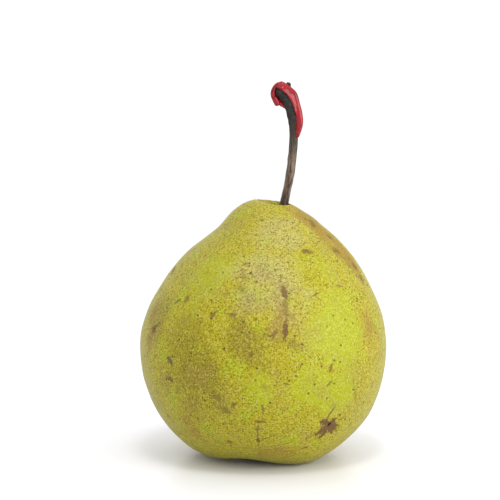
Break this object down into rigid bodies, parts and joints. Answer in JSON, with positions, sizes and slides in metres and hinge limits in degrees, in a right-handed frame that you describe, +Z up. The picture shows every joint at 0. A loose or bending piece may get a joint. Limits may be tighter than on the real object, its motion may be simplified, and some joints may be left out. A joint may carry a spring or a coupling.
{
  "type": "pear with a wax-sealed stem",
  "caption": "Dumpy winter pear standing on its base, with a curved woody stem whose head is sealed in red wax and a dried calyx in the basin underneath.",
  "frame": {"origin": "on the surface the pear stands on, under the middle of its bounding box", "axes": "+Z up along the core towards the stem, +X towards the side the stem leans to, -Y the side with the wax's open window"},
  "size_m": [0.0848, 0.0848, 0.1289],
  "materials": {
    "pear_skin": "satin",
    "stem_bark": "matte",
    "sealing_wax": "gloss",
    "dried_calyx": "matte",
    "dried_stamens": "matte"
  },
  "bodies": {
    "root": {"fruit": "pear_skin", "stem": "stem_bark", "wax_seal": "sealing_wax", "calyx": "dried_calyx", "stamens": "dried_stamens"}
  },
  "joints": []
}
